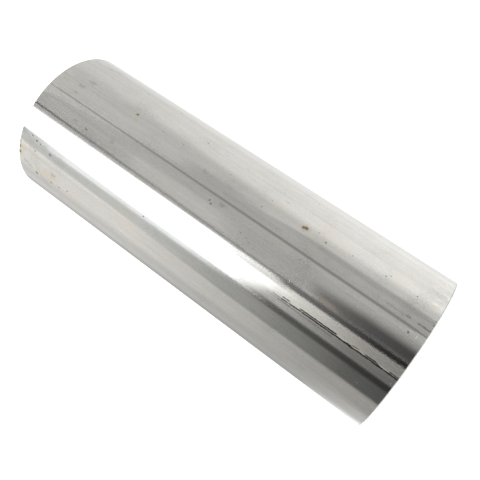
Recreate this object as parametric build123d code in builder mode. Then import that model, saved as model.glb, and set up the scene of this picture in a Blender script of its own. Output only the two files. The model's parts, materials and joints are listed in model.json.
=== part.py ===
from build123d import *

import math
import os

# A short length of welded stainless steel tube, cut square at both ends.
# It stands on one end: origin at the centre of the lower end, +Z up along the tube's axis.
# The weld runs the whole length on the -Y side.

# Driving dimensions, in millimetres
outside_diameter = 76.2
wall = 1.65
length = 203.2

# Deburred ends: the outer corner is rounded, the inner corner is reamed at 45 degrees
outer_edge_radius = 0.3
inner_edge_chamfer = 0.35

# Lengthwise weld: a low bead rolled flat on the inside, a shallow ground line on the outside
bead_width = 3.0
bead_height = 0.15
weld_line_width = 1.2
weld_line_depth = 0.04

outside_radius = outside_diameter / 2
inside_radius = outside_radius - wall
mid_wall_radius = outside_radius - wall / 2


def distance_to_chord(radius, chord):
    """Distance from the centre of a circle to one of its chords."""
    return math.sqrt(radius**2 - (chord / 2) ** 2)


with BuildPart() as tube:
    # The wall, turned about the tube's axis, with both outer corners rounded
    with BuildSketch(Plane.XZ) as wall_section:
        with Locations((mid_wall_radius, length / 2)):
            Rectangle(wall, length)
        fillet(wall_section.vertices().group_by(Axis.X)[-1], radius=outer_edge_radius)
    revolve(axis=Axis.Z)

    # The bead inside: a low crown across the seam, rooted in the middle of the wall
    bead_edge_y = -distance_to_chord(inside_radius, bead_width)
    with BuildSketch(Plane.XY) as bead_section:
        with BuildLine():
            ThreePointArc(
                (-bead_width / 2, bead_edge_y),
                (0, bead_height - inside_radius),
                (bead_width / 2, bead_edge_y),
            )
            Polyline(
                (bead_width / 2, bead_edge_y),
                (bead_width / 2, -mid_wall_radius),
                (-bead_width / 2, -mid_wall_radius),
                (-bead_width / 2, bead_edge_y),
            )
        make_face()
    extrude(amount=length)

    # The ground line outside: a dished channel that runs out through both ends
    line_edge_y = -distance_to_chord(outside_radius, weld_line_width)
    clear_of_wall_y = -outside_radius - wall
    with BuildSketch(Plane.XY) as weld_line_section:
        with BuildLine():
            ThreePointArc(
                (-weld_line_width / 2, line_edge_y),
                (0, weld_line_depth - outside_radius),
                (weld_line_width / 2, line_edge_y),
            )
            Polyline(
                (weld_line_width / 2, line_edge_y),
                (weld_line_width / 2, clear_of_wall_y),
                (-weld_line_width / 2, clear_of_wall_y),
                (-weld_line_width / 2, line_edge_y),
            )
        make_face()
    extrude(amount=length, mode=Mode.SUBTRACT)

    # Both mouths are reamed by the same 90 degree cone, which takes the bead's ends down too
    mouth_radius = inside_radius + inner_edge_chamfer
    with BuildSketch(Plane.XZ) as reamer_section:
        with BuildLine():
            Polyline((0, 0), (mouth_radius, 0), (0, mouth_radius), close=True)
        with BuildLine():
            Polyline((0, length), (mouth_radius, length), (0, length - mouth_radius), close=True)
        make_face()
    revolve(axis=Axis.Z, mode=Mode.SUBTRACT)

tube.part.label = "tube"

os.makedirs("parts", exist_ok=True)
export_step(tube.part, "parts/tube.step")
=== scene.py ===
"""A short length of welded stainless steel tube, standing on its cut end in a plain studio."""

import json
import math

import bpy
from bpy.props import FloatProperty, FloatVectorProperty, IntProperty, PointerProperty
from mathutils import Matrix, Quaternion, Vector


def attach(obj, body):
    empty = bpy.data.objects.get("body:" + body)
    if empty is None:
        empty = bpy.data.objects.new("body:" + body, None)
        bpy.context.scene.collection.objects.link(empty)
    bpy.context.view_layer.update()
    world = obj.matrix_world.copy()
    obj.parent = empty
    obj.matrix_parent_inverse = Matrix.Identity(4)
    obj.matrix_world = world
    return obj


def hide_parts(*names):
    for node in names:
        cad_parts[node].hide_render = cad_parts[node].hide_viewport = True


bl_info = {
    "name": "Stainless Steel Tube",
    "version": (1, 0, 0),
    "blender": (4, 5, 0),
    "location": "3D View > Sidebar > Tube",
    "description": "Builds a welded stainless steel tube with its mill finish, marks and studio",
    "category": "Add Mesh",
}

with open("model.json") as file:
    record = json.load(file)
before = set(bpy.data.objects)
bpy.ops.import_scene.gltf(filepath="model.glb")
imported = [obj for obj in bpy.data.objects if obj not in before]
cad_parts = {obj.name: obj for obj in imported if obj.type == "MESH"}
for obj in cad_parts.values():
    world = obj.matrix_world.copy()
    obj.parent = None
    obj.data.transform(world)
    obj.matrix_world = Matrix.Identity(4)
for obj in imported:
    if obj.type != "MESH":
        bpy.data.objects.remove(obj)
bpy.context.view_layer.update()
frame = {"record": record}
MOUNTS = {mount["name"]: mount for mount in frame["record"]["mounts"]}

MM = 0.001
OUTSIDE_RADIUS = MOUNTS["outside"]["dims"]["r_mm"] * MM
BORE_RADIUS = MOUNTS["bore"]["dims"]["r_mm"] * MM
LENGTH = MOUNTS["bore"]["dims"]["length_mm"] * MM


def linear(hex_colour):
    """An sRGB hex colour as linear red, green, blue and alpha."""
    shares = [int(hex_colour[i : i + 2], 16) / 255 for i in (1, 3, 5)]
    light = [s / 12.92 if s <= 0.04045 else ((s + 0.055) / 1.055) ** 2.4 for s in shares]
    return (*light, 1.0)


def length_setting(name, description, default):
    return FloatProperty(name=name, description=description, default=default, unit="LENGTH", precision=5)


def angle_setting(name, description, degrees):
    return FloatProperty(name=name, description=description, default=math.radians(degrees), subtype="ANGLE")


def colour_setting(name, description, hex_colour):
    return FloatVectorProperty(
        name=name, description=description, default=linear(hex_colour), size=4, subtype="COLOR", min=0, max=1
    )


class TubeSizes(bpy.types.PropertyGroup):
    outside_radius: length_setting("Outside radius", "Radius of the outer wall", OUTSIDE_RADIUS)
    bore_radius: length_setting("Bore radius", "Radius of the inner wall", BORE_RADIUS)
    length: length_setting("Length", "Distance between the two cuts", LENGTH)
    edge_radius: length_setting("Outer edge radius", "Rounding of the outer corner of each cut", 0.3 * MM)
    mouth_chamfer: length_setting("Mouth chamfer", "Chamfer of the inner corner of each cut", 0.35 * MM)
    weld_line_depth: length_setting("Weld line depth", "Depth of the ground line outside", 0.04 * MM)
    bead_width: length_setting("Bead width", "Width of the rolled weld bead inside", 3.0 * MM)
    bead_height: length_setting("Bead height", "Height of the weld bead above the bore", 0.15 * MM)
    wave_height: length_setting("Wave height", "Unevenness that the forming rolls leave", 0.02 * MM)
    wave_size: length_setting("Wave size", "Width of one low place in the wall", 12 * MM)
    columns: IntProperty(name="Columns", description="Faces round the tube", default=360, min=72)
    rows: IntProperty(name="Rows", description="Cuts along the outer and inner wall", default=49, min=7)


class SteelFinish(bpy.types.PropertyGroup):
    steel: colour_setting("Steel", "Reflection of the clean cold-rolled sheet", "#CCCBC7")
    steel_shade: colour_setting("Steel shade", "Reflection along the duller rolled bands", "#C0BFBA")
    film: colour_setting("Film", "Thin dried film of handling and water", "#B7B6B0")
    warm_film: colour_setting("Warm film", "Film with a trace of rust in it", "#CDC0B4")
    weld_tint: colour_setting("Weld tint", "Ground metal of the weld line", "#86857F")
    bead_tint: colour_setting("Bead tint", "Straw heat tint of the weld bead inside", "#A08C66")
    bore: colour_setting("Bore", "Duller steel of the inner wall", "#B4B3AF")
    cut: colour_setting("Cut", "Bare metal of the two cut ends", "#C4C3C0")
    bright: colour_setting("Bright", "Freshly bared metal of nicks and scratches", "#E6E5E1")
    rust_core: colour_setting("Rust core", "Middle of a rust spot", "#4A4230")
    rust_halo: colour_setting("Rust halo", "Thin bloom round a rust spot", "#B79E7C")
    pit: colour_setting("Pit", "Dark specks and pits", "#4C4C47")
    # Near-black of the lines along the tube: partly scratches, partly painted dark reflections
    scratch_and_reflection_dark: colour_setting("Score", "Dirt in the draw marks along the tube", "#191816")
    stain: colour_setting("Stain", "Yellow-brown dried water stain", "#C2B189")
    smudge: colour_setting("Smudge", "Grey rubbed smudges", "#9A9993")
    roughness: FloatProperty(
        name="Roughness", description="Roughness of the clean sheet", default=0.07, min=0, max=1
    )


class StudioSetup(bpy.types.PropertyGroup):
    floor_size: length_setting("Floor size", "Side of the floor", 6.0)
    floor_colour: colour_setting("Floor colour", "Plain pale floor", "#F2F2F1")
    daylight: FloatProperty(name="Daylight", description="Strength of the even soft light", default=1.7)
    board_distance: length_setting("Board distance", "Radius of the ring of boards", 0.60)
    board_height: length_setting("Board height", "Height of the boards", 1.3)
    board_drop: length_setting("Board drop", "How far the boards go on below the floor", 0.45)
    board_step: length_setting("Board step", "How much nearer each board stands than the last", 2 * MM)
    board_columns: IntProperty(name="Board columns", description="Faces along a board", default=24, min=3)
    ground_radius: length_setting("Ground radius", "Radius of the mirrored ground inside the ring", 0.55)
    ground_drop: length_setting("Ground drop", "How far the mirrored ground lies below the floor", 0.10)
    camera_distance: length_setting("Camera distance", "From the tube's axis, level", 261.5 * MM)
    camera_height: length_setting("Camera height", "Above the floor", 23.99 * MM)
    camera_turn: angle_setting("Camera turn", "From the weld line, clockwise seen from above", 14.2)
    camera_pitch: angle_setting("Camera pitch", "Tilt upwards", 14.674)
    camera_yaw: angle_setting("Camera yaw", "Turn from the tube's axis", 0.18)
    camera_roll: angle_setting("Camera roll", "Turn about the line of sight", 55.271)
    lens: FloatProperty(name="Lens", description="Focal length in millimetres", default=41.58, unit="CAMERA")


def add_node(tree, kind, inputs=None, output=0, **settings):
    """Adds a node with its settings, links or sets its inputs, and gives back one of its outputs."""
    made = tree.nodes.new(kind)
    for name, value in settings.items():
        setattr(made, name, value)
    for socket, value in (inputs or {}).items():
        if isinstance(value, bpy.types.NodeSocket):
            tree.links.new(value, made.inputs[socket])
        else:
            made.inputs[socket].default_value = value
    return made.outputs[output] if len(made.outputs) else None


def new_material(name):
    """An empty material and its node tree."""
    material = bpy.data.materials.new(name)
    material.use_nodes = True
    material.node_tree.nodes.clear()
    return material, material.node_tree


def on_wall(degrees_from_weld, height_mm):
    """A point of the outer wall: degrees anticlockwise from the weld line seen from above, and height."""
    turn = math.radians(degrees_from_weld - 90)
    return Vector((OUTSIDE_RADIUS * math.cos(turn), OUTSIDE_RADIUS * math.sin(turn), height_mm * MM))


def nearest_mark(tree, place, marks, along):
    """Distance to the nearest mark in that mark's own radii. A mark is along times as long as it is wide."""
    squeezed = add_node(tree, "ShaderNodeMapping", {"Vector": place, "Scale": (1, 1, 1 / along)})
    nearest = None
    for degrees, height_mm, radius_mm in marks:
        spot = on_wall(degrees, height_mm / along)
        away = add_node(tree, "ShaderNodeVectorMath", {0: squeezed, 1: spot}, "Value", operation="DISTANCE")
        radii = add_node(tree, "ShaderNodeMath", {0: away, 1: radius_mm * MM}, operation="DIVIDE")
        if nearest is None:
            nearest = radii
        else:
            nearest = add_node(tree, "ShaderNodeMath", {0: nearest, 1: radii}, operation="MINIMUM")
    return nearest


def lay_over(tree, under, value, gone, full, strength, over):
    """Lays a colour over another, from not at all where the value is at gone to its strength at full."""
    share = add_node(
        tree,
        "ShaderNodeMapRange",
        {"Value": value, "From Min": gone, "From Max": full, "To Max": strength},
        interpolation_type="SMOOTHSTEP",
    )
    return add_node(tree, "ShaderNodeMix", {0: share, 6: under, 7: over}, 2, data_type="RGBA"), share


def frayed(tree, place, size_mm, reach_mm):
    """Object coordinates shaken by noise, so that what is drawn on them gets ragged edges."""
    noise = {"Vector": place, "Scale": 1 / (size_mm * MM), "Detail": 3.0}
    shake = add_node(tree, "ShaderNodeTexNoise", noise, "Color")
    shake = add_node(tree, "ShaderNodeVectorMath", {0: shake, 1: (0.5, 0.5, 0.5)}, operation="SUBTRACT")
    shake = add_node(tree, "ShaderNodeVectorMath", {0: shake, "Scale": 2 * reach_mm * MM}, operation="SCALE")
    return add_node(tree, "ShaderNodeVectorMath", {0: place, 1: shake}, operation="ADD")


def arc_from_weld(tree, place):
    """How far round the outer wall a point is from the weld line, in metres, anticlockwise positive."""
    x = add_node(tree, "ShaderNodeSeparateXYZ", {"Vector": place}, "X")
    y = add_node(tree, "ShaderNodeSeparateXYZ", {"Vector": place}, "Y")
    front = add_node(tree, "ShaderNodeMath", {0: y, 1: -1.0}, operation="MULTIPLY")
    turn = add_node(tree, "ShaderNodeMath", {0: x, 1: front}, operation="ARCTAN2")
    return add_node(tree, "ShaderNodeMath", {0: turn, 1: OUTSIDE_RADIUS}, operation="MULTIPLY")


def nearest_dark_line(tree, arc, height, marks):
    """How dark the nearest dark line along the tube is, fading out across it and at its ends."""
    darkest = 0.0
    for degrees_low, degrees_high, low, high, half_width, darkness in marks:
        line = add_node(
            tree,
            "ShaderNodeMapRange",
            {
                "Value": height,
                "From Min": low * MM,
                "From Max": high * MM,
                "To Min": math.radians(degrees_low) * OUTSIDE_RADIUS,
                "To Max": math.radians(degrees_high) * OUTSIDE_RADIUS,
            },
        )
        aside = add_node(tree, "ShaderNodeMath", {0: arc, 1: line}, operation="SUBTRACT")
        aside = add_node(tree, "ShaderNodeMath", {0: aside}, operation="ABSOLUTE")
        across = add_node(
            tree,
            "ShaderNodeMapRange",
            {
                "Value": aside,
                "From Min": half_width * MM,
                "From Max": half_width * MM / 2,
                "To Max": darkness,
            },
        )
        middle = (low + high) / 2 * MM
        from_middle = add_node(tree, "ShaderNodeMath", {0: height, 1: middle}, operation="SUBTRACT")
        from_middle = add_node(tree, "ShaderNodeMath", {0: from_middle}, operation="ABSOLUTE")
        reach = (high - low) / 2 * MM
        along = add_node(
            tree,
            "ShaderNodeMapRange",
            {"Value": from_middle, "From Min": reach, "From Max": reach - 0.7 * MM},
        )
        mark = add_node(tree, "ShaderNodeMath", {0: across, 1: along}, operation="MULTIPLY")
        darkest = add_node(tree, "ShaderNodeMath", {0: darkest, 1: mark}, operation="MAXIMUM")
    return darkest


# Marks on the outer wall: degrees from the weld line, then height and radius in millimetres
RUST_SPOTS = (
    (15.9, 63.2, 0.85),
    (15.2, 64.2, 0.72),
    (17.4, 158.0, 0.55),
    (-48.6, 203.0, 0.6),
    (-53.0, 203.0, 0.8),
    (-57.5, 202.7, 0.9),
)
PITS = (
    (-13.0, 171.9, 0.5),
    (-12.3, 172.8, 0.35),
    (-43.8, 183.5, 0.8),
    (-48.8, 192.7, 0.35),
    (-39.0, 196.2, 0.5),
    (-40.8, 193.0, 0.65),
    (-41.4, 190.6, 0.55),
    (-3.8, 7.1, 0.45),
    (-67.5, 191.2, 0.8),
    (-66.5, 181.0, 0.5),
    (-65.6, 175.7, 0.45),
    (-63.3, 170.3, 0.4),
    (-17.5, 202.6, 0.5),
    (31.4, 123.6, 0.32),
    (17.3, 130.7, 0.25),
    (17.2, 142.4, 0.25),
    (46.7, 147.2, 0.35),
    (18.1, 104.1, 0.25),
    (-5.1, 103.6, 0.4),
    (-6.7, 102.3, 0.45),
    (10.8, 83.9, 0.3),
    (19.4, 82.3, 0.22),
    (-11.2, 84.2, 0.28),
    (-40.2, 126.1, 0.4),
    (14.7, 53.1, 0.4),
    (18.1, 57.8, 0.25),
    (17.5, 41.2, 0.25),
    (-4.2, 57.2, 0.22),
    (-19.1, 56.1, 0.42),
    (18.6, 25.8, 0.3),
    (21.0, 24.1, 0.25),
    (18.9, 11.4, 0.25),
    (-47.8, 11.9, 0.4),
    (8.3, 0.5, 0.4),
    (11.2, 0.7, 0.3),
    (42.7, 68.5, 0.25),
    (42.9, 66.8, 0.25),
)
SMUDGES = (
    (-10.1, 157.6, 0.9),
    (-12.2, 179.1, 0.8),
    (11.5, 189.6, 1.2),
    (5.0, 189.2, 1.0),
    (18.9, 187.4, 1.4),
    (44.2, 191.5, 1.3),
    (46.8, 187.5, 1.2),
    (43.1, 166.5, 0.9),
    (31.5, 112.5, 0.6),
    (31.3, 100.5, 0.6),
    (25.8, 76.8, 0.6),
    (30.9, 81.2, 0.5),
    (9.4, 113.5, 1.0),
    (-3.0, 97.6, 1.1),
    (-12.6, 80.6, 0.5),
    (-13.6, 78.6, 0.5),
    (-63.0, 198.0, 1.3),
    (-64.6, 195.8, 1.1),
    (-57.9, 179.8, 1.2),
    (-40.4, 195.0, 2.0),
    (-42.0, 188.0, 1.8),
)
STAINS = (
    (-60.4, 179.9, 2.6),
    (-61.3, 185.1, 2.2),
    (-64.5, 182.0, 1.8),
    (-63.0, 190.0, 1.6),
    (-53.5, 200.0, 1.8),
    (19.5, 4.6, 1.0),
    (12.2, 156.0, 1.2),
)
NICKS = ((-3.4, 3.6, 1.1), (-34.3, 1.6, 0.5))

# Dark lines along the tube, partly scratches and partly painted dark reflections: degrees from the weld at
# the lower and the upper end of a line, the heights of those ends and half its width in millimetres, and how
# dark it is. The widest ones are faint dark bands.
SCRATCH_AND_REFLECTION_LINES = (
    (-30.0, -30.0, -1.0, 45.0, 0.42, 1.0),
    (-30.0, -30.1, 44.5, 51.5, 0.38, 0.85),
    (-30.4, -30.4, 51.0, 55.2, 0.36, 0.85),
    (-30.4, -30.3, 54.8, 59.5, 0.34, 0.5),
    (-28.9, -28.8, 28.0, 46.5, 0.38, 0.95),
    (-29.3, -29.7, 21.0, 25.0, 0.36, 0.9),
    (-28.7, -28.7, 18.0, 21.6, 0.32, 0.65),
    (-28.9, -28.9, 9.6, 15.8, 0.36, 0.9),
    (-28.9, -28.9, 50.5, 55.0, 0.32, 0.75),
    (-28.8, -28.8, 54.8, 60.0, 0.26, 0.25),
    (-29.9, -28.9, 7.6, 10.4, 0.38, 0.9),
    (-29.0, -28.9, -1.0, 4.8, 0.3, 0.8),
    (-31.8, -31.8, 56.0, 62.0, 0.36, 0.35),
    (-31.8, -31.8, 49.5, 56.5, 0.42, 0.55),
    (-31.8, -31.8, 29.0, 50.0, 0.42, 0.42),
    (3.8, 4.3, -1.0, 6.4, 0.42, 0.55),
    (4.2, 4.2, 8.4, 12.0, 0.5, 0.4),
    (4.1, 4.1, 11.5, 20.0, 0.5, 0.25),
    (45.3, 45.3, -5.0, 196.0, 2.0, 0.14),
    (29.7, 29.8, -5.0, 125.0, 1.7, 0.14),
    (9.6, 9.6, -5.0, 55.0, 1.7, 0.19),
    (3.9, 3.9, 70.0, 102.0, 1.2, 0.16),
    (46.2, 46.5, 47.0, 57.0, 0.22, 0.3),
    (47.2, 47.4, 37.0, 47.0, 0.22, 0.3),
    (44.1, 44.3, 151.0, 160.0, 0.2, 0.35),
    (-17.4, -17.5, 197.0, 204.0, 0.25, 0.7),
)


def outside_finish(finish):
    """Cold-rolled, roll-formed stainless sheet: a soft mirror, streaked lengthwise and a little blotchy."""
    material, tree = new_material("stainless_cold_rolled_outside")
    place = add_node(tree, "ShaderNodeTexCoord", output="Object")
    height = add_node(tree, "ShaderNodeSeparateXYZ", {"Vector": place}, "Z")
    arc = arc_from_weld(tree, place)

    # The real grit lines are under 0.1 mm wide: they are drawn 0.5 and 0.9 mm wide, or none would show
    drawn = add_node(tree, "ShaderNodeMapping", {"Vector": place, "Scale": (1, 1, 1 / 22)})
    streaks = add_node(tree, "ShaderNodeTexNoise", {"Vector": drawn, "Scale": 1 / (0.5 * MM), "Detail": 3.0})
    drawn = add_node(tree, "ShaderNodeMapping", {"Vector": place, "Scale": (1, 1, 1 / 70)})
    lines = add_node(tree, "ShaderNodeTexNoise", {"Vector": drawn, "Scale": 1 / (0.9 * MM), "Detail": 2.0})
    # Bands about 5 mm wide, where the rolls rubbed harder
    rolled = add_node(tree, "ShaderNodeMapping", {"Vector": place, "Scale": (1, 1, 1 / 40)})
    bands = add_node(tree, "ShaderNodeTexNoise", {"Vector": rolled, "Scale": 1 / (5 * MM), "Detail": 3.0})
    # Grain of the sheet, in reality 0.05 mm across, drawn 0.45 mm across
    grain = add_node(
        tree,
        "ShaderNodeTexNoise",
        {"Vector": place, "Scale": 1 / (0.45 * MM), "Detail": 3.0, "Roughness": 0.65},
    )
    # Patches of dried film, 14 mm across, some warmer and some cooler
    clouds = add_node(
        tree,
        "ShaderNodeTexNoise",
        {"Vector": place, "Scale": 1 / (14 * MM), "Detail": 5.0, "Distortion": 0.6},
    )
    aside = add_node(tree, "ShaderNodeMapping", {"Vector": place, "Location": (0.3, 0.1, 0.2)})
    warmth = add_node(tree, "ShaderNodeTexNoise", {"Vector": aside, "Scale": 1 / (18 * MM), "Detail": 4.0})

    tone = add_node(tree, "ShaderNodeMix", {0: 0.5, 2: streaks, 3: bands}, data_type="FLOAT")
    tone = add_node(tree, "ShaderNodeMix", {0: 0.3, 2: tone, 3: lines}, data_type="FLOAT")
    colour, _ = lay_over(tree, finish.steel_shade, tone, 0.36, 0.64, 1.0, finish.steel)
    colour, _ = lay_over(tree, colour, grain, 0.42, 0.68, 0.34, finish.smudge)
    colour, film = lay_over(tree, colour, clouds, 0.42, 0.68, 0.3, finish.film)
    colour, _ = lay_over(tree, colour, warmth, 0.48, 0.7, 0.2, finish.warm_film)
    # Fine dirt that gathers in some of the patches
    dirt = add_node(tree, "ShaderNodeMath", {0: grain, 1: clouds}, operation="MULTIPLY")
    colour, _ = lay_over(tree, colour, dirt, 0.33, 0.42, 0.18, finish.pit)

    # The weld line on the -Y side, ground flush: a darker line, fainter towards the upper end
    from_weld = add_node(tree, "ShaderNodeMath", {0: arc}, operation="ABSOLUTE")
    fainter = add_node(
        tree, "ShaderNodeMapRange", {"Value": height, "From Max": LENGTH, "To Min": 0.0, "To Max": 0.4 * MM}
    )
    from_weld = add_node(tree, "ShaderNodeMath", {0: from_weld, 1: fainter}, operation="ADD")
    colour, weld = lay_over(tree, colour, from_weld, 1.1 * MM, 0.2 * MM, 0.8, finish.weld_tint)

    # Marks, with frayed edges
    wide = frayed(tree, place, 2.2, 1.4)
    near = frayed(tree, place, 0.6, 0.3)
    rust_reach = nearest_mark(tree, near, RUST_SPOTS, 1.2)
    # Stains are thin and mottled, so the grain breaks them up
    stain_reach = nearest_mark(tree, wide, STAINS, 1.3)
    mottled = add_node(tree, "ShaderNodeMath", {0: grain, 1: -4.0, 2: stain_reach}, operation="MULTIPLY_ADD")
    colour, _ = lay_over(tree, colour, mottled, -0.8, -1.9, 0.48, finish.stain)
    smudge_reach = nearest_mark(tree, wide, SMUDGES, 1.8)
    colour, smudge = lay_over(tree, colour, smudge_reach, 1.3, 0.2, 0.55, finish.smudge)
    colour, pit = lay_over(tree, colour, nearest_mark(tree, near, PITS, 1.2), 1.4, 0.4, 0.75, finish.pit)
    colour, _ = lay_over(tree, colour, rust_reach, 2.6, 1.0, 0.4, finish.rust_halo)
    colour, rust = lay_over(tree, colour, rust_reach, 1.25, 0.7, 0.92, finish.rust_core)
    nick_reach = nearest_mark(tree, near, NICKS, 0.25)
    colour, nick = lay_over(tree, colour, nick_reach, 1.2, 0.6, 0.8, finish.bright)
    # Near-black lines along the tube: partly scratches and partly painted dark reflections
    wavy = frayed(tree, near, 2.5, 0.35)
    wavy_height = add_node(tree, "ShaderNodeSeparateXYZ", {"Vector": wavy}, "Z")
    line_darkness = nearest_dark_line(tree, arc_from_weld(tree, wavy), wavy_height, SCRATCH_AND_REFLECTION_LINES)
    colour, dark_line_share = lay_over(tree, colour, line_darkness, 0.0, 1.0, 0.95, finish.scratch_and_reflection_dark)

    # Specks all round: larger ones in half of the 9 mm cells, fine ones in about half of the 3.5 mm cells
    for cell_mm, radius_mm, share in ((9, 0.32, 0.5), (3.5, 0.17, 0.45)):
        cells = {"Vector": near, "Scale": 1 / (cell_mm * MM)}
        cell_tint = add_node(tree, "ShaderNodeTexVoronoi", cells, "Color")
        cell_reach = add_node(tree, "ShaderNodeTexVoronoi", cells, "Distance")
        chosen = add_node(tree, "ShaderNodeSeparateColor", {"Color": cell_tint})
        speck_size = add_node(
            tree,
            "ShaderNodeMapRange",
            {"Value": chosen, "From Min": 1 - share, "To Max": radius_mm / cell_mm},
        )
        inside = add_node(tree, "ShaderNodeMath", {0: speck_size, 1: cell_reach}, operation="SUBTRACT")
        colour, _ = lay_over(tree, colour, inside, 0.0, 0.04 / cell_mm, 0.5, finish.pit)

    # Hairline scratches, mostly close to the two ends, where the tube was cut and handled
    from_middle = add_node(tree, "ShaderNodeMath", {0: height, 1: LENGTH / 2}, operation="SUBTRACT")
    from_middle = add_node(tree, "ShaderNodeMath", {0: from_middle}, operation="ABSOLUTE")
    at_ends = add_node(
        tree,
        "ShaderNodeMapRange",
        {
            "Value": from_middle,
            "From Min": LENGTH / 2 - 11 * MM,
            "From Max": LENGTH / 2 - 2 * MM,
            "To Min": 0.18,
        },
    )
    for turned, longer in (((0.5, 0.3, 0.0), 12), ((-0.7, 0.9, 0.3), 7)):
        drawn = add_node(
            tree, "ShaderNodeMapping", {"Vector": place, "Rotation": turned, "Scale": (1, 1, 1 / longer)}
        )
        wander = add_node(
            tree, "ShaderNodeTexNoise", {"Vector": drawn, "Scale": 1 / (2.4 * MM), "Detail": 1.0}
        )
        wander = add_node(tree, "ShaderNodeMath", {0: wander, 1: 0.5}, operation="SUBTRACT")
        wander = add_node(tree, "ShaderNodeMath", {0: wander}, operation="ABSOLUTE")
        patchy = add_node(tree, "ShaderNodeMath", {0: clouds, 1: at_ends}, operation="MULTIPLY")
        width = add_node(tree, "ShaderNodeMath", {0: patchy, 1: 0.022}, operation="MULTIPLY")
        inside = add_node(tree, "ShaderNodeMath", {0: width, 1: wander}, operation="SUBTRACT")
        colour, _ = lay_over(tree, colour, inside, 0.0, 0.006, 0.38, finish.bright)

    # Roughness: streaks and bands vary it a little, film, weld and marks raise it
    rough = add_node(
        tree,
        "ShaderNodeMapRange",
        {
            "Value": tone,
            "From Min": 0.3,
            "From Max": 0.7,
            "To Min": finish.roughness + 0.02,
            "To Max": finish.roughness - 0.02,
        },
    )
    dulled = ((film, 0.1), (weld, 0.2), (smudge, 0.3), (pit, 0.35), (rust, 0.5), (nick, 0.3), (dark_line_share, 0.2))
    for mask, rise in dulled:
        rough = add_node(tree, "ShaderNodeMath", {0: mask, 1: rise, 2: rough}, operation="MULTIPLY_ADD")
    metallic = add_node(tree, "ShaderNodeMath", {0: rust, 1: -0.95, 2: 1.0}, operation="MULTIPLY_ADD")

    # Relief: streaks and lines are a few micrometres deep, bands more but wide, rust stands a little proud
    raised = add_node(tree, "ShaderNodeMath", {0: rust, 1: pit}, operation="SUBTRACT")
    normal = add_node(tree, "ShaderNodeBump", {"Strength": 1.0, "Distance": 0.002 * MM, "Height": streaks})
    for relief, rise in ((lines, 0.0025), (grain, 0.0004), (bands, 0.015), (raised, 0.05)):
        normal = add_node(
            tree,
            "ShaderNodeBump",
            {"Strength": 1.0, "Distance": rise * MM, "Height": relief, "Normal": normal},
        )
    shader = add_node(
        tree,
        "ShaderNodeBsdfPrincipled",
        {"Base Color": colour, "Metallic": metallic, "Roughness": rough, "Normal": normal},
    )
    add_node(tree, "ShaderNodeOutputMaterial", {"Surface": shader})
    return material


def bore_finish(finish):
    """The inner wall: the sheet as welded, duller, with a straw heat tint along the rippled bead."""
    material, tree = new_material("stainless_welded_bore")
    place = add_node(tree, "ShaderNodeTexCoord", output="Object")
    drawn = add_node(tree, "ShaderNodeMapping", {"Vector": place, "Scale": (1, 1, 1 / 60)})
    lines = add_node(tree, "ShaderNodeTexNoise", {"Vector": drawn, "Scale": 1 / (0.9 * MM), "Detail": 2.0})
    dull = add_node(
        tree,
        "ShaderNodeTexNoise",
        {"Vector": place, "Scale": 1 / (20 * MM), "Detail": 4.0, "Distortion": 0.8},
    )
    from_weld = add_node(tree, "ShaderNodeMath", {0: arc_from_weld(tree, place)}, operation="ABSOLUTE")
    colour, _ = lay_over(tree, finish.bore, lines, 0.3, 0.7, 1.0, finish.steel_shade)
    colour, _ = lay_over(tree, colour, from_weld, 6.0 * MM, 1.5 * MM, 0.45, finish.bead_tint)
    colour, bead = lay_over(tree, colour, from_weld, 1.7 * MM, 1.2 * MM, 0.35, finish.weld_tint)
    # Ripples that the weld pool leaves across the bead, 1.1 mm apart. At scale 1 they would be 0.314 m apart
    ripple_scale = 0.314 / (1.1 * MM)
    ripple = add_node(
        tree,
        "ShaderNodeTexWave",
        {"Vector": place, "Scale": ripple_scale, "Distortion": 1.5, "Detail": 1.0},
        "Fac",
        bands_direction="Z",
    )
    ripple = add_node(tree, "ShaderNodeMath", {0: ripple, 1: bead}, operation="MULTIPLY")
    normal = add_node(tree, "ShaderNodeBump", {"Strength": 1.0, "Distance": 0.006 * MM, "Height": lines})
    normal = add_node(
        tree, "ShaderNodeBump", {"Strength": 1.0, "Distance": 0.09 * MM, "Height": ripple, "Normal": normal}
    )
    rough = add_node(
        tree,
        "ShaderNodeMapRange",
        {"Value": dull, "From Min": 0.3, "From Max": 0.7, "To Min": 0.26, "To Max": 0.38},
    )
    shader = add_node(
        tree,
        "ShaderNodeBsdfPrincipled",
        {"Base Color": colour, "Metallic": 1.0, "Roughness": rough, "Normal": normal},
    )
    add_node(tree, "ShaderNodeOutputMaterial", {"Surface": shader})
    return material


def cut_finish(finish):
    """The sawn and deburred ends: bare bright metal with the saw's straight lines across them."""
    material, tree = new_material("stainless_sawn_end")
    place = add_node(tree, "ShaderNodeTexCoord", output="Object")
    # Parallel lines that the saw left, 0.4 mm apart
    crossed = add_node(tree, "ShaderNodeMapping", {"Vector": place, "Scale": (0.03, 1, 1)})
    lines = add_node(tree, "ShaderNodeTexNoise", {"Vector": crossed, "Scale": 1 / (0.4 * MM), "Detail": 2.0})
    colour, _ = lay_over(tree, finish.steel_shade, lines, 0.35, 0.65, 1.0, finish.cut)
    normal = add_node(tree, "ShaderNodeBump", {"Strength": 1.0, "Distance": 0.01 * MM, "Height": lines})
    rough = add_node(
        tree,
        "ShaderNodeMapRange",
        {"Value": lines, "From Min": 0.3, "From Max": 0.7, "To Min": 0.25, "To Max": 0.4},
    )
    shader = add_node(
        tree,
        "ShaderNodeBsdfPrincipled",
        {"Base Color": colour, "Metallic": 1.0, "Roughness": rough, "Normal": normal},
    )
    add_node(tree, "ShaderNodeOutputMaterial", {"Surface": shader})
    return material


def edit(piece):
    """Opens a piece in edit mode with nothing selected."""
    bpy.ops.object.select_all(action="DESELECT")
    piece.select_set(True)
    bpy.context.view_layer.objects.active = piece
    bpy.ops.object.mode_set(mode="EDIT")
    bpy.ops.mesh.select_mode(type="VERT")
    bpy.ops.mesh.select_all(action="DESELECT")


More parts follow.
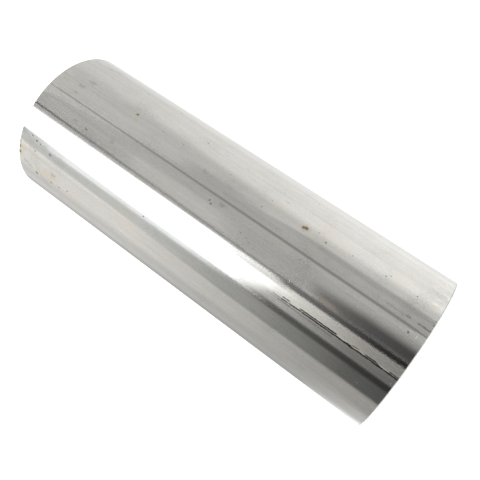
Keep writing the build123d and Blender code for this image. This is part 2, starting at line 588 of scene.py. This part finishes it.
def choose(piece, kind, wanted):
    """Selects the vertices, edges or polygons of a piece in edit mode that wanted says yes to."""
    bpy.ops.mesh.select_all(action="DESELECT")
    bpy.ops.object.mode_set(mode="OBJECT")
    for item in getattr(piece.data, kind):
        item.select = wanted(item)
    bpy.ops.object.mode_set(mode="EDIT")


class TUBE_OT_build_wall(bpy.types.Operator):
    """Builds the tube wall from its section, with both cut ends, the weld line and the bead inside"""

    bl_idname = "object.build_tube_wall"
    bl_label = "Build tube wall"

    def execute(self, context):
        sizes = context.scene.tube_sizes
        finish = context.scene.steel_finish
        wall = sizes.outside_radius - sizes.bore_radius
        mid_radius = (sizes.outside_radius + sizes.bore_radius) / 2

        # The wall's section stands on +X: a thin upright rectangle with its corners broken
        bpy.ops.object.select_all(action="DESELECT")
        bpy.ops.mesh.primitive_plane_add(
            size=1, location=(mid_radius, 0, sizes.length / 2), rotation=(math.pi / 2, 0, 0)
        )
        piece = context.active_object
        piece.name = "tube_wall"
        piece.scale = (wall, sizes.length, 1)
        bpy.ops.object.transform_apply(location=True, rotation=True, scale=True)
        edit(piece)
        choose(piece, "vertices", lambda corner: corner.co.x > mid_radius)
        bpy.ops.mesh.bevel(offset=sizes.edge_radius, segments=4, affect="VERTICES")
        choose(piece, "vertices", lambda corner: corner.co.x < mid_radius)
        bpy.ops.mesh.bevel(offset=sizes.mouth_chamfer, segments=1, affect="VERTICES")

        # The face goes, its two long sides are cut into rows, and the outline is spun round the axis
        def is_long(edge):
            ends = [corners[i].co for i in edge.vertices]
            return abs(ends[0].z - ends[1].z) > sizes.length / 2

        bpy.ops.mesh.select_all(action="SELECT")
        bpy.ops.mesh.delete(type="ONLY_FACE")
        bpy.ops.mesh.select_mode(type="EDGE")
        corners = piece.data.vertices
        choose(piece, "edges", is_long)
        bpy.ops.mesh.subdivide(number_cuts=sizes.rows)
        bpy.ops.mesh.select_all(action="SELECT")
        bpy.ops.mesh.spin(steps=sizes.columns, angle=2 * math.pi, center=(0, 0, 0), axis=(0, 0, 1))
        # The last outline of the spin lies on the first: they are joined
        bpy.ops.mesh.select_all(action="SELECT")
        bpy.ops.mesh.remove_doubles(threshold=0.002 * MM)
        bpy.ops.mesh.normals_make_consistent(inside=False)

        self.form_weld(piece, sizes, mid_radius)
        self.uneven(piece, sizes)
        self.paint(piece, finish, mid_radius)
        bpy.ops.object.mode_set(mode="OBJECT")
        bpy.ops.object.shade_smooth_by_angle(angle=math.radians(35))
        # Without this the long faces next to a corner would look rounded too, and mirror a pale seam
        normals = piece.modifiers.new("flat_faces_stay_flat", "WEIGHTED_NORMAL")
        normals.keep_sharp = True
        bpy.ops.object.modifier_apply(modifier=normals.name)
        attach(piece, "root")
        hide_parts("tube")
        return {"FINISHED"}

    def form_weld(self, piece, sizes, mid_radius):
        """Sinks the weld line outside and raises the bead inside, column by column."""
        bpy.ops.mesh.select_mode(type="VERT")
        step = 2 * math.pi / sizes.columns
        tolerance = 0.2 * step * sizes.bore_radius

        def column(radius, number):
            middle = radius * math.sin(number * step)
            outer = radius > mid_radius

            def wanted(vertex):
                x, y, _ = vertex.co
                on_this_wall = (math.hypot(x, y) > mid_radius) == outer
                return on_this_wall and y < 0 and abs(abs(x) - middle) < tolerance

            choose(piece, "vertices", wanted)

        column(sizes.outside_radius, 0)
        bpy.ops.transform.translate(value=(0, sizes.weld_line_depth, 0))
        half_bead = int(sizes.bead_width / 2 / (step * sizes.bore_radius))
        for number in range(half_bead + 1):
            share = number * step * sizes.bore_radius / (sizes.bead_width / 2)
            column(sizes.bore_radius, number)
            bpy.ops.transform.translate(value=(0, sizes.bead_height * (1 - share**2), 0))

    def uneven(self, piece, sizes):
        """Long low waves along the wall, made by clouds that are drawn out by a squeeze and a stretch."""
        squeeze = 0.12
        choose(piece, "vertices", lambda vertex: MM < vertex.co.z < sizes.length - MM)
        bpy.ops.object.vertex_group_assign_new()
        bpy.ops.mesh.select_all(action="SELECT")
        bpy.ops.transform.resize(value=(1, 1, squeeze), center_override=(0, 0, 0))
        bpy.ops.object.mode_set(mode="OBJECT")
        clouds = bpy.data.textures.new("forming_waves", "CLOUDS")
        clouds.noise_scale = sizes.wave_size
        waves = piece.modifiers.new("forming_waves", "DISPLACE")
        waves.texture = clouds
        waves.texture_coords = "LOCAL"
        waves.vertex_group = piece.vertex_groups.active.name
        waves.strength = sizes.wave_height
        waves.mid_level = 0.5
        bpy.ops.object.modifier_apply(modifier=waves.name)
        piece.vertex_groups.clear()
        edit(piece)
        bpy.ops.mesh.select_all(action="SELECT")
        bpy.ops.transform.resize(value=(1, 1, 1 / squeeze), center_override=(0, 0, 0))

    def paint(self, piece, finish, mid_radius):
        """Gives the outer wall, the bore and the two cut ends their own finishes."""
        for material in (outside_finish(finish), bore_finish(finish), cut_finish(finish)):
            piece.data.materials.append(material)
        bpy.ops.mesh.select_mode(type="FACE")

        def in_bore(face):
            return math.hypot(*face.center.xy) < mid_radius and abs(face.normal.z) < 0.5

        choose(piece, "polygons", in_bore)
        piece.active_material_index = 1
        bpy.ops.object.material_slot_assign()
        choose(piece, "polygons", lambda face: abs(face.normal.z) > 0.5)
        piece.active_material_index = 2
        bpy.ops.object.material_slot_assign()


# The ring of boards that the steel mirrors. Each is a sheet that stands round the tube and goes on below the
# floor, because the steel doesn't mirror the paper floor. All heights are in millimetres.
# start and end: its sides, in degrees clockwise from the camera as seen from above. Each fades out over soft
# degrees. lean moves the two sides by so many degrees for each metre above the height lean_from.
# foot, low and high: the light that it gives below the floor, at the floor and high up. It goes from foot to
# low between the two heights of tread, and from low to high between those of rise.
# bottom and top: its lower and upper edge, where it is in sight. Each fades out over the height fade, and
# rises by slant for each 10 degrees clockwise.
BOARDS = (
    dict(name="pale_behind_left", start=-190, end=-124, soft=16, foot=1.09, low=1.09, high=1.06),
    dict(
        name="pale_behind_right", start=152, end=190, soft=12, foot=1.36, low=0.68, high=0.98,
        rise=(430, 640), tread=(-60, 90),
    ),
    dict(name="white_left", start=-140, end=-52, soft=24, foot=1.38, low=1.40, high=0.98, rise=(40, 620)),
    dict(
        name="light_grey_left", start=-66, end=-10, soft=17, foot=0.92, low=0.95, high=0.86,
        rise=(60, 350), lean=(-28, 0), lean_from=120,
    ),
    dict(
        name="mid_grey_front", start=-54, end=14, soft=4, foot=0.62, low=0.67, high=0.74, rise=(150, 450),
        lean=(76, 0), lean_from=140,
    ),
    dict(
        name="light_strip_low", start=-31, end=-19, soft=5, foot=0.73, low=0.73, high=0.73, top=250,
        fade=160,
    ),
    dict(
        name="mid_grey_behind", start=130, end=160, soft=14, foot=1.3, low=0.50, high=0.66,
        rise=(250, 620), tread=(-60, 50),
    ),
    dict(
        name="light_grey_far_right", start=96, end=140, soft=22, foot=0.82, low=0.64, high=0.94,
        rise=(120, 420), tread=(-60, 30),
    ),
    dict(
        name="warm_grey_right", start=70, end=110, soft=20, foot=0.54, low=0.62, high=1.2, rise=(40, 400),
        tint="#FFFDFC",
    ),
    dict(
        name="dark_grey_right", start=51, end=78.3, soft=5, foot=0.15, low=0.20, high=0.95, rise=(0, 380),
        lean=(0, -22), lean_from=200, tint="#FCFEFE",
    ),
    dict(
        name="warm_grey_low", start=15.5, end=33, soft=8, foot=0.43, low=0.53, high=1.25, rise=(0, 126),
        tint="#FFFDFB",
    ),
    dict(name="dull_grey_low", start=32, end=50, soft=3, foot=0.235, low=0.30, high=0.68, rise=(10, 126)),
    dict(
        name="pale_patch_high", start=-14, end=8, soft=10, low=0.86, high=0.86, bottom=250, top=450,
        fade=80,
    ),
    dict(
        name="dull_patch_high", start=-52, end=-36, soft=10, low=0.66, high=0.66, bottom=240, top=360,
        fade=70,
    ),
    dict(
        name="dark_patch_low", start=-10, end=12, soft=17, foot=0.10, low=0.14, high=0.33,
        rise=(10, 110), lean=(60, 0), lean_from=20, top=96, fade=38, slant=-16,
    ),
    dict(
        name="warm_patch_low", start=2.5, end=9.5, soft=4, low=0.50, high=0.50, bottom=58, top=86, fade=20,
        slant=-16, tint="#F9EEE4",
    ),
    dict(
        name="white_edge_high", start=46, end=57, soft=4, low=1.6, high=0.75, rise=(540, 640), bottom=235,
        fade=110, tint="#F6FAFF",
    ),
    dict(
        name="white_high", start=22, end=50.5, soft=3, low=2.6, high=2.6, tint="#F9FBFF", bottom=163,
        fade=66, slant=21, lean=(0, -16), lean_from=400,
    ),
    dict(
        name="white_high_side", start=13.8, end=25, soft=2.0, low=2.6, high=2.6, tint="#F2F6FF",
        bottom=218, fade=150,
    ),
    dict(
        name="dark_line_high", start=11.5, end=14.0, soft=1.0, low=0.46, high=0.22, rise=(400, 620),
        lean=(-11, -11), bottom=125, fade=30,
    ),
    dict(
        name="dark_line_low", start=9.3, end=17.2, soft=4.0, foot=0.03, low=0.06, high=0.30,
        rise=(0, 130), top=145, fade=30,
    ),
    dict(
        name="black_line_low", start=46.0, end=55.2, soft=4.5, foot=0.055, low=0.07, high=0.19,
        rise=(0, 140), top=158, fade=60, tint="#FCFEFE",
    ),
)


class TUBE_OT_build_stage(bpy.types.Operator):
    """Lays the pale floor, sets the boards, the soft light and the camera"""

    bl_idname = "scene.build_tube_stage"
    bl_label = "Build stage"

    def execute(self, context):
        studio = context.scene.tube_studio
        self.lay_floor(studio)
        for number, board in enumerate(BOARDS):
            self.stand_board(studio, number, **board)
        self.lay_ground(studio)
        self.light(context, studio)
        self.aim_camera(context, studio)
        return {"FINISHED"}

    def lay_floor(self, studio):
        bpy.ops.object.select_all(action="DESELECT")
        bpy.ops.mesh.primitive_plane_add(size=studio.floor_size, location=(0, 0, 0))
        floor = bpy.context.active_object
        floor.name = "studio_floor"
        # Matt paper: an even pale ground without any shine
        material, tree = new_material("floor_paper")
        shader = add_node(
            tree, "ShaderNodeBsdfPrincipled", {"Base Color": studio.floor_colour, "Roughness": 0.9}
        )
        add_node(tree, "ShaderNodeOutputMaterial", {"Surface": shader})
        floor.data.materials.append(material)
        floor.visible_glossy = False

    def stand_board(self, studio, number, name, start, end, soft, lean=(0, 0), **tones):
        """One curved board, spun round the tube. Later boards stand a little nearer."""
        distance = studio.board_distance - studio.board_step * number
        reach = studio.board_height
        first = math.radians(min(start, start + lean[0] * reach) - soft)
        last = math.radians(max(end, end + lean[1] * reach) + soft)
        bpy.ops.object.select_all(action="DESELECT")
        # An upright plane from the tube's axis outwards, of which only the outer edge is kept
        bpy.ops.mesh.primitive_plane_add(
            size=1, location=(distance / 2, 0, reach / 2 - studio.board_drop), rotation=(math.pi / 2, 0, 0)
        )
        board = bpy.context.active_object
        board.name = "board_" + name
        board.scale = (distance, reach, 1)
        bpy.ops.object.transform_apply(location=True, rotation=True, scale=True)
        edit(board)
        choose(board, "vertices", lambda corner: corner.co.x < distance / 2)
        bpy.ops.mesh.delete(type="VERT")
        bpy.ops.mesh.select_all(action="SELECT")
        facing_camera = math.pi / 2 + studio.camera_turn
        bpy.ops.transform.rotate(value=facing_camera + first, orient_axis="Z", center_override=(0, 0, 0))
        bpy.ops.mesh.spin(
            steps=studio.board_columns, angle=last - first, center=(0, 0, 0), axis=(0, 0, 1)
        )
        bpy.ops.object.mode_set(mode="OBJECT")
        board.data.materials.append(self.board_light(name, facing_camera, start, end, soft, lean, **tones))
        self.show_in_mirror_only(board)

    def show_in_mirror_only(self, piece):
        for ray in ("camera", "diffuse", "transmission", "volume_scatter", "shadow"):
            setattr(piece, "visible_" + ray, False)

    def lay_ground(self, studio):
        """Calm ground inside the ring, for views from above: paler to one side, with no hard rim."""
        bpy.ops.object.select_all(action="DESELECT")
        bpy.ops.mesh.primitive_circle_add(
            vertices=96, radius=studio.ground_radius, fill_type="NGON", location=(0, 0, -studio.ground_drop)
        )
        ground = bpy.context.active_object
        ground.name = "mirrored_ground"
        bpy.ops.object.transform_apply(location=True, rotation=True, scale=True)
        material, tree = new_material("ground_light")
        rim_start = 0.55 * studio.ground_radius
        paler_side = (-0.6, -0.8, 0)
        dull_tone = 0.5
        pale_tone = 1.15
        place = add_node(tree, "ShaderNodeTexCoord", output="Object")
        radius = add_node(tree, "ShaderNodeVectorMath", {0: place}, "Value", operation="LENGTH")
        shown = add_node(
            tree,
            "ShaderNodeMapRange",
            {"Value": radius, "From Min": studio.ground_radius, "From Max": rim_start},
            interpolation_type="SMOOTHSTEP",
        )
        to_side = add_node(
            tree, "ShaderNodeVectorMath", {0: place, 1: paler_side}, "Value", operation="DOT_PRODUCT"
        )
        tone = add_node(
            tree,
            "ShaderNodeMapRange",
            {
                "Value": to_side,
                "From Min": -studio.ground_radius,
                "From Max": studio.ground_radius,
                "To Min": dull_tone,
                "To Max": pale_tone,
            },
            interpolation_type="SMOOTHSTEP",
        )
        light = add_node(tree, "ShaderNodeEmission", {"Strength": tone})
        clear = add_node(tree, "ShaderNodeBsdfTransparent")
        shader = add_node(tree, "ShaderNodeMixShader", {0: shown, 1: clear, 2: light})
        add_node(tree, "ShaderNodeOutputMaterial", {"Surface": shader})
        ground.data.materials.append(material)
        self.show_in_mirror_only(ground)

    def board_light(
        self,
        name,
        facing_camera,
        start,
        end,
        soft,
        lean,
        low,
        high,
        foot=1,
        tread=(-50, 0),
        rise=(0, 500),
        lean_from=0,
        bottom=None,
        top=None,
        fade=30,
        slant=0,
        tint="#FFFFFF",
    ):
        """Even light from a board, soft at its sides, changing up its height."""
        material, tree = new_material("board_light_" + name)
        place = add_node(tree, "ShaderNodeTexCoord", output="Object")
        turned = add_node(tree, "ShaderNodeMapping", {"Vector": place, "Rotation": (0, 0, facing_camera)})
        x = add_node(tree, "ShaderNodeSeparateXYZ", {"Vector": turned}, "X")
        y = add_node(tree, "ShaderNodeSeparateXYZ", {"Vector": turned}, "Y")
        height = add_node(tree, "ShaderNodeSeparateXYZ", {"Vector": turned}, "Z")
        turn = add_node(tree, "ShaderNodeMath", {0: y, 1: x}, operation="ARCTAN2")
        clockwise = add_node(tree, "ShaderNodeMath", {0: turn, 1: -180 / math.pi}, operation="MULTIPLY")
        # Each side, straight up or leaning
        climb = add_node(tree, "ShaderNodeMath", {0: height, 1: lean_from * MM}, operation="SUBTRACT")
        climb = add_node(tree, "ShaderNodeMath", {0: climb, 1: 0.0}, operation="MAXIMUM")
        shown = 1.0
        for side, slope, sign in ((start, lean[0], 1), (end, lean[1], -1)):
            line = add_node(tree, "ShaderNodeMath", {0: climb, 1: slope, 2: side}, operation="MULTIPLY_ADD")
            inside = add_node(tree, "ShaderNodeMath", {0: clockwise, 1: line}, operation="SUBTRACT")
            limits = {"Value": inside, "From Min": -sign * soft / 2, "From Max": sign * soft / 2}
            edge = add_node(tree, "ShaderNodeMapRange", limits, interpolation_type="SMOOTHSTEP")
            shown = add_node(tree, "ShaderNodeMath", {0: shown, 1: edge}, operation="MULTIPLY")
        # Its lower or upper edge, where that is in sight
        slanted = add_node(tree, "ShaderNodeMath", {0: clockwise, 1: (start + end) / 2}, operation="SUBTRACT")
        slanted = add_node(
            tree, "ShaderNodeMath", {0: slanted, 1: -slant * MM / 10, 2: height}, operation="MULTIPLY_ADD"
        )
        for level, sign in ((bottom, 1), (top, -1)):
            if level is not None:
                half = sign * fade / 2
                limits = {"Value": slanted, "From Min": (level - half) * MM, "From Max": (level + half) * MM}
                edge = add_node(tree, "ShaderNodeMapRange", limits, interpolation_type="SMOOTHSTEP")
                shown = add_node(tree, "ShaderNodeMath", {0: shown, 1: edge}, operation="MULTIPLY")
        # Its tone, from its foot to the floor and then up
        foot_tone = add_node(
            tree,
            "ShaderNodeMapRange",
            {
                "Value": height,
                "From Min": tread[0] * MM,
                "From Max": tread[1] * MM,
                "To Min": foot - low,
                "To Max": 0.0,
            },
        )
        tone = add_node(
            tree,
            "ShaderNodeMapRange",
            {
                "Value": height,
                "From Min": rise[0] * MM,
                "From Max": rise[1] * MM,
                "To Min": low,
                "To Max": high,
            },
        )
        tone = add_node(tree, "ShaderNodeMath", {0: tone, 1: foot_tone}, operation="ADD")
        light = add_node(tree, "ShaderNodeEmission", {"Color": linear(tint), "Strength": tone})
        clear = add_node(tree, "ShaderNodeBsdfTransparent")
        shader = add_node(tree, "ShaderNodeMixShader", {0: shown, 1: clear, 2: light})
        add_node(tree, "ShaderNodeOutputMaterial", {"Surface": shader})
        return material

    def light(self, context, studio):
        world = bpy.data.worlds.new("soft_daylight")
        world.use_nodes = True
        tree = world.node_tree
        tree.nodes.clear()
        sky = add_node(tree, "ShaderNodeBackground", {"Color": (1, 1, 1, 1), "Strength": studio.daylight})
        add_node(tree, "ShaderNodeOutputWorld", {"Surface": sky})
        context.scene.world = world
        context.scene.view_settings.view_transform = "Standard"

    def aim_camera(self, context, studio):
        """The camera stands low, close to the floor, and looks up along the tube, rolled to one side."""
        bearing = -math.pi / 2 - studio.camera_turn
        facing = bearing + math.pi + studio.camera_yaw
        level = math.cos(studio.camera_pitch)
        sight = Vector((math.cos(facing) * level, math.sin(facing) * level, math.sin(studio.camera_pitch)))
        data = bpy.data.cameras.new("photo_camera")
        camera = bpy.data.objects.new("photo_camera", data)
        context.scene.collection.objects.link(camera)
        camera.location = (
            studio.camera_distance * math.cos(bearing),
            studio.camera_distance * math.sin(bearing),
            studio.camera_height,
        )
        upright = sight.to_track_quat("-Z", "Y")
        camera.rotation_euler = (upright @ Quaternion((0, 0, 1), -studio.camera_roll)).to_euler()
        data.lens = studio.lens
        data.sensor_width = 36
        data.clip_start = 0.01
        context.scene.camera = camera


class TUBE_PT_panel(bpy.types.Panel):
    """Lists the tube's operators and settings"""

    bl_label = "Stainless Steel Tube"
    bl_space_type = "VIEW_3D"
    bl_region_type = "UI"
    bl_category = "Tube"

    def draw(self, context):
        layout = self.layout
        scene = context.scene
        for operator, group in (
            (TUBE_OT_build_wall, scene.tube_sizes),
            (None, scene.steel_finish),
            (TUBE_OT_build_stage, scene.tube_studio),
        ):
            box = layout.box()
            if operator is not None:
                box.operator(operator.bl_idname)
            for name in group.__annotations__:
                box.prop(group, name)


CLASSES = (TubeSizes, SteelFinish, StudioSetup, TUBE_OT_build_wall, TUBE_OT_build_stage, TUBE_PT_panel)


def register():
    for cls in CLASSES:
        bpy.utils.register_class(cls)
    bpy.types.Scene.tube_sizes = PointerProperty(type=TubeSizes)
    bpy.types.Scene.steel_finish = PointerProperty(type=SteelFinish)
    bpy.types.Scene.tube_studio = PointerProperty(type=StudioSetup)


def unregister():
    del bpy.types.Scene.tube_studio
    del bpy.types.Scene.steel_finish
    del bpy.types.Scene.tube_sizes
    for cls in reversed(CLASSES):
        bpy.utils.unregister_class(cls)


def main():
    register()
    bpy.ops.object.build_tube_wall()
    bpy.ops.scene.build_tube_stage()


if __name__ == "__main__":
    main()
